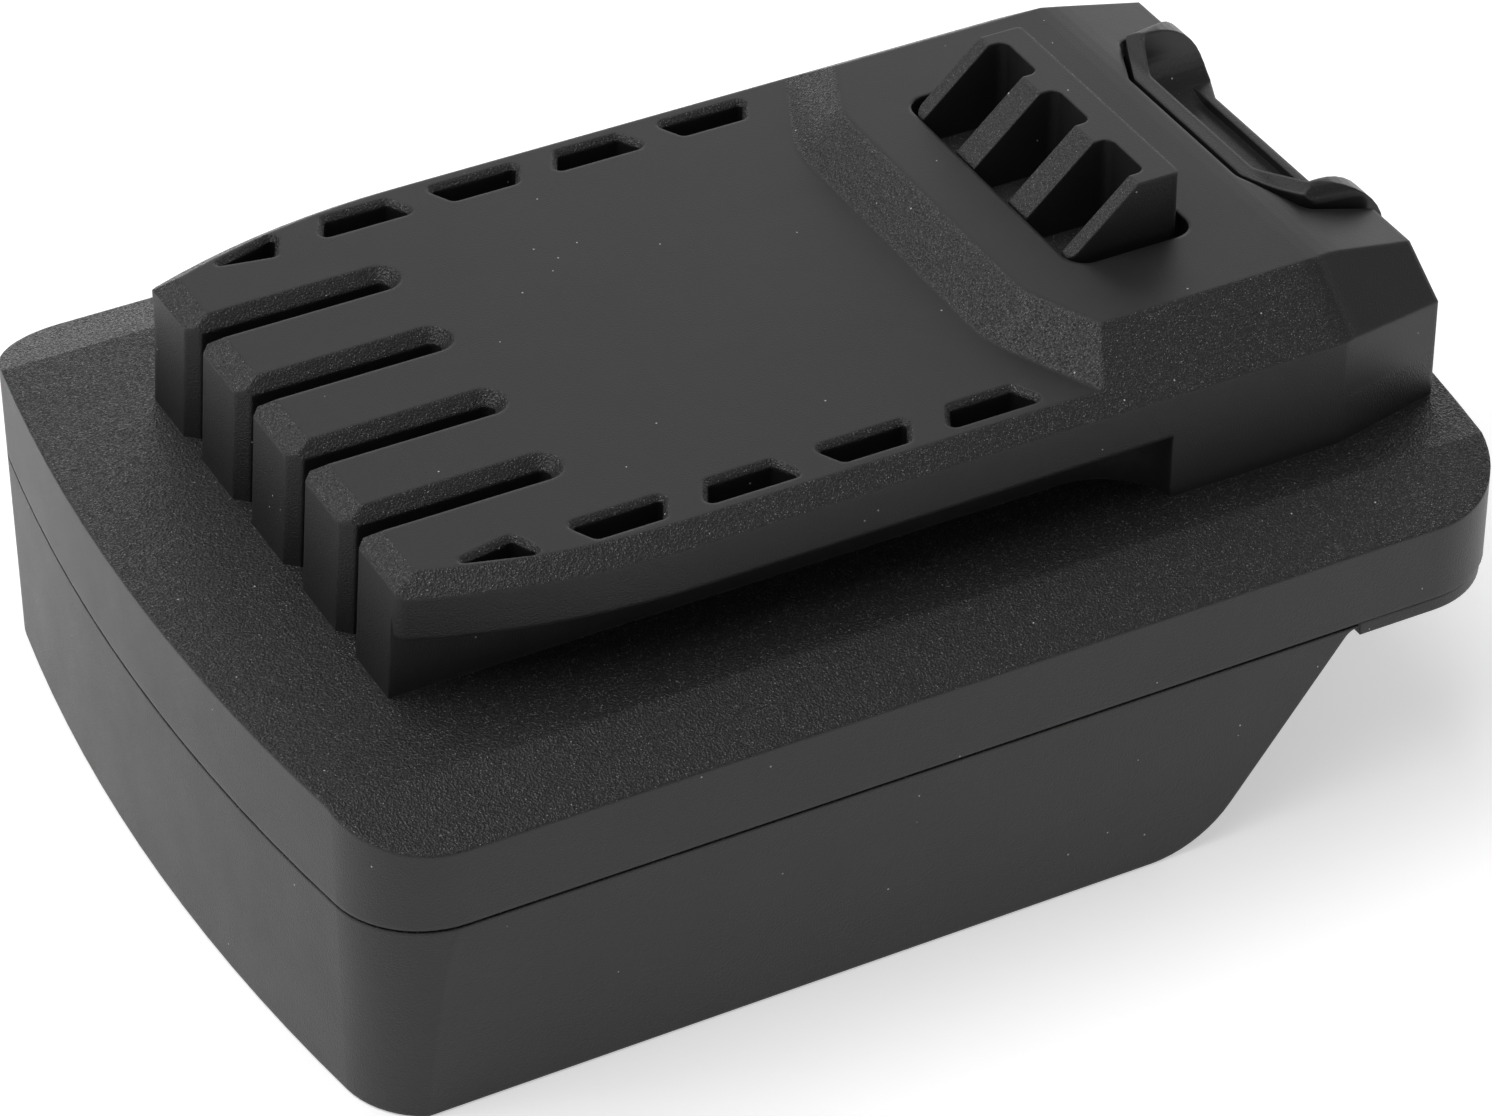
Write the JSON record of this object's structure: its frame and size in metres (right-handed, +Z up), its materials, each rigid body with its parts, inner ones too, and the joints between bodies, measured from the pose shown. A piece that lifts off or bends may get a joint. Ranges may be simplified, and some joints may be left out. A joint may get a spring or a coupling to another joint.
{
  "type": "tool battery adapter",
  "caption": "Slide-on adapter plate that lets a cordless tool run on a battery pack of another system, with rail lips, slotted terminal fingers and a sprung latch with a thumb button.",
  "frame": {"origin": "middle of the underside, at the centre of the bounding box", "axes": "+X from the terminal fingers to the latch, along the sliding direction; +Y across; +Z up, from the battery socket to the tool rail"},
  "size_m": [0.109, 0.08, 0.0475],
  "materials": {
    "cover_plastic": "moulded, spark-eroded grain",
    "housing_plastic": "moulded, fine grain",
    "latch_plastic": "moulded, fine grain",
    "button_plastic": "smooth semi-gloss",
    "inner_plastic": "moulded",
    "contact_metal": "tinned sheet",
    "spring_steel": "drawn wire",
    "screw_steel": "zinc plated",
    "wire_red": "soft insulation",
    "wire_yellow": "soft insulation",
    "wire_white": "soft insulation",
    "wire_black": "soft insulation"
  },
  "bodies": {
    "case": {"upper_cover": "cover_plastic", "lower_housing": "housing_plastic", "rear_plate": "housing_plastic", "latch_spring_left": "spring_steel", "latch_spring_right": "spring_steel", "contact_carrier": "inner_plastic", "terminal_block": "inner_plastic", "clip_positive": "contact_metal", "clip_temperature": "contact_metal", "clip_identity": "contact_metal", "clip_negative": "contact_metal", "blade_positive": "contact_metal", "blade_temperature": "contact_metal", "blade_identity": "contact_metal", "blade_negative": "contact_metal", "wire_positive": "wire_red", "wire_temperature": "wire_yellow", "wire_identity": "wire_white", "wire_negative": "wire_black", "case_screws": "screw_steel", "rear_plate_screws": "screw_steel", "carrier_screws": "screw_steel", "terminal_screws": "screw_steel"},
    "latch_unit": {"latch": "latch_plastic", "release_button": "button_plastic"}
  },
  "joints": [
    {"name": "latch_press", "type": "slide", "parent": "case", "child": "latch_unit", "axis": [0, 0, -1], "range_m": [0, 0.0052], "stiffness_N_per_m": 1600, "springref_m": -0.004, "deforming": ["latch_spring_left", "latch_spring_right"]}
  ]
}
